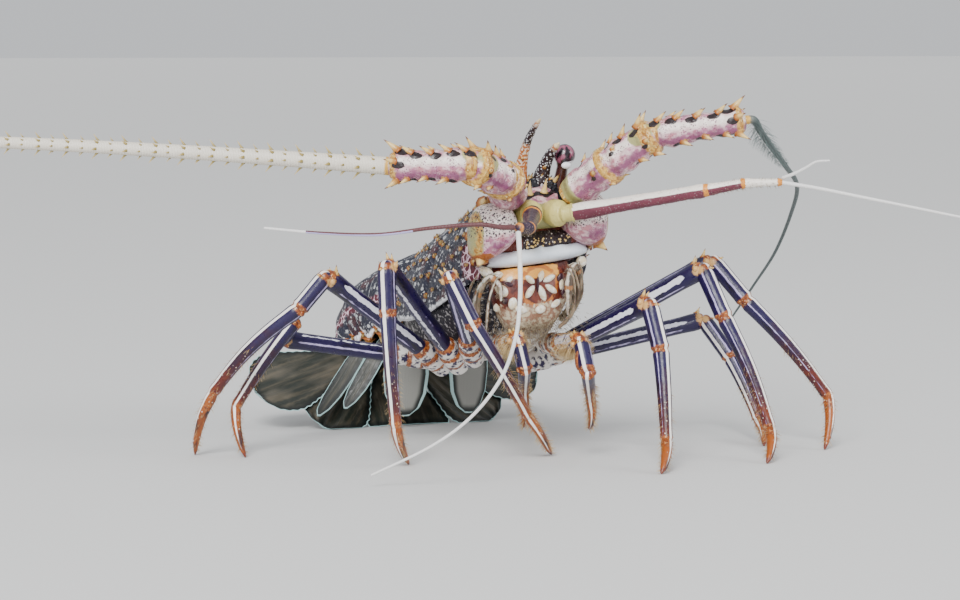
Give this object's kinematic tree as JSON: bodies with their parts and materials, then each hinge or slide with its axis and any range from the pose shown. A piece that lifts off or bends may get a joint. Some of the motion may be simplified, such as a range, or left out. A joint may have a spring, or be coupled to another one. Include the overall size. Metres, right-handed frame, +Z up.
{
  "type": "spiny lobster model",
  "caption": "Life-size still model of a spiny lobster standing on its legs with its tail curled under, long antennae swept out and back.",
  "frame": {"origin": "on the floor below the middle of the whole model's box, antennae included", "axes": "-Y the way the lobster faces, +X its left side, +Z up"},
  "size_m": [0.5659, 0.3367, 0.1506],
  "materials": {
    "shell": "dark blue-black shell with grey-white flecks",
    "underside": "white shell marbled with purple and orange",
    "face_white": "smooth bluish-white bar under a black ledge",
    "mouth": "cream, orange and dark red patches",
    "peduncle": "pink-lilac shell with purple speckles and cream spines",
    "flagellum": "cream-white ringed whip",
    "antennule": "maroon stem with a white stripe",
    "eye": "glossy blue-black cornea",
    "horn": "orange and brown with a cream tip",
    "leg": "glossy indigo with white lengthwise stripes",
    "fan": "dark green-brown leathery blades with pale margins"
  },
  "bodies": {
    "root": {"abdomen_1": "shell", "abdomen_2": "shell", "abdomen_3": "shell", "abdomen_4": "shell", "abdomen_5": "shell", "abdomen_6": "shell", "antenna_base_L": "peduncle", "antenna_base_R": "peduncle", "antenna_carpus_L": "peduncle", "antenna_carpus_R": "peduncle", "antenna_merus_L": "peduncle", "antenna_merus_R": "peduncle", "antenna_stem_L": "peduncle", "antenna_stem_R": "peduncle", "antenna_whip_L_1": "flagellum", "antenna_whip_L_2": "flagellum", "antenna_whip_R_1": "flagellum", "antenna_whip_R_2": "flagellum", "antennular_plate": "peduncle", "antennule_L": "antennule", "antennule_R": "antennule", "antennule_inner_L": "antennule", "antennule_inner_R": "antennule", "antennule_outer_L": "flagellum", "antennule_outer_R": "flagellum", "carapace": "shell", "endopod_L": "fan", "endopod_R": "fan", "epistome": "face_white", "exopod_L": "fan", "exopod_R": "fan", "eye_L": "eye", "eye_R": "eye", "horn_L": "horn", "horn_R": "horn", "leg_1_L_lower": "leg", "leg_1_L_upper": "leg", "leg_1_R_lower": "leg", "leg_1_R_upper": "leg", "leg_2_L_lower": "leg", "leg_2_L_upper": "leg", "leg_2_R_lower": "leg", "leg_2_R_upper": "leg", "leg_3_L_lower": "leg", "leg_3_L_upper": "leg", "leg_3_R_lower": "leg", "leg_3_R_upper": "leg", "leg_4_L_lower": "leg", "leg_4_L_upper": "leg", "leg_4_R_lower": "leg", "leg_4_R_upper": "leg", "leg_5_L_lower": "leg", "leg_5_L_upper": "leg", "leg_5_R_lower": "leg", "leg_5_R_upper": "leg", "maxilliped_L": "underside", "maxilliped_R": "underside", "mouthparts": "mouth", "sternum": "underside", "telson": "fan"}
  },
  "joints": []
}
